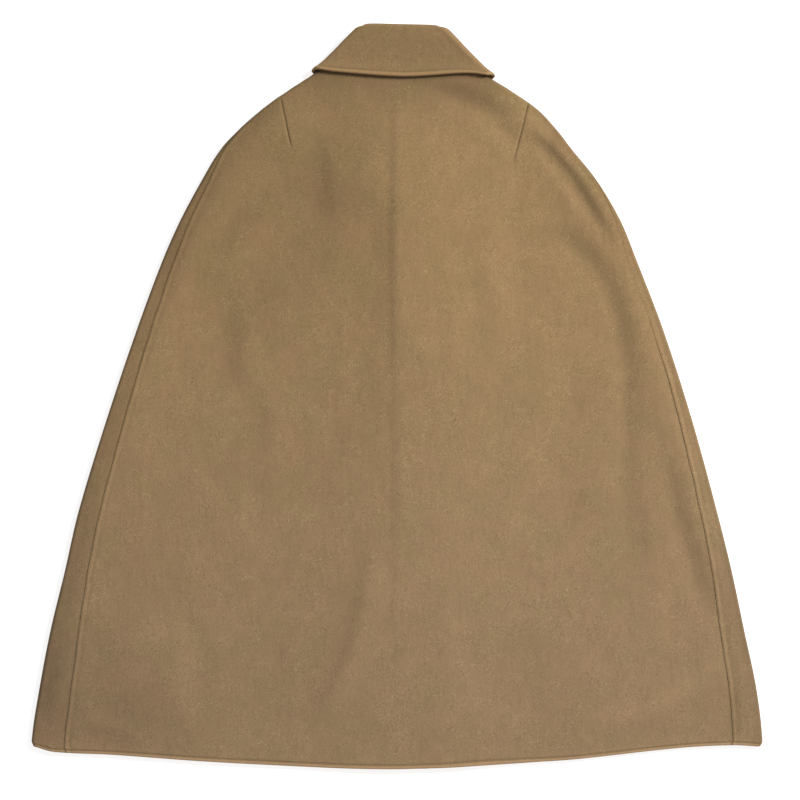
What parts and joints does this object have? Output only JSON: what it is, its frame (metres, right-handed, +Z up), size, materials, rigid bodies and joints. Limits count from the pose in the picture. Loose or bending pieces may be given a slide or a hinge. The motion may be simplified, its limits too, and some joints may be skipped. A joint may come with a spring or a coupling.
{
  "type": "wool cape",
  "caption": "Hip-length camel wool cape with a turned-down collar and shoulder darts, laid flat on its front with the back up.",
  "frame": {"origin": "middle of the laid cape's outline, on the surface it lies on", "axes": "+Y from the hem to the collar, +X to the wearer's right, +Z up out of the back"},
  "size_m": [0.9868, 1.0039, 0.0187],
  "materials": {
    "wool": "brushed double-faced wool"
  },
  "bodies": {
    "root": {"back_panel": "wool", "left_front": "wool", "right_front": "wool", "collar": "wool"}
  },
  "joints": []
}
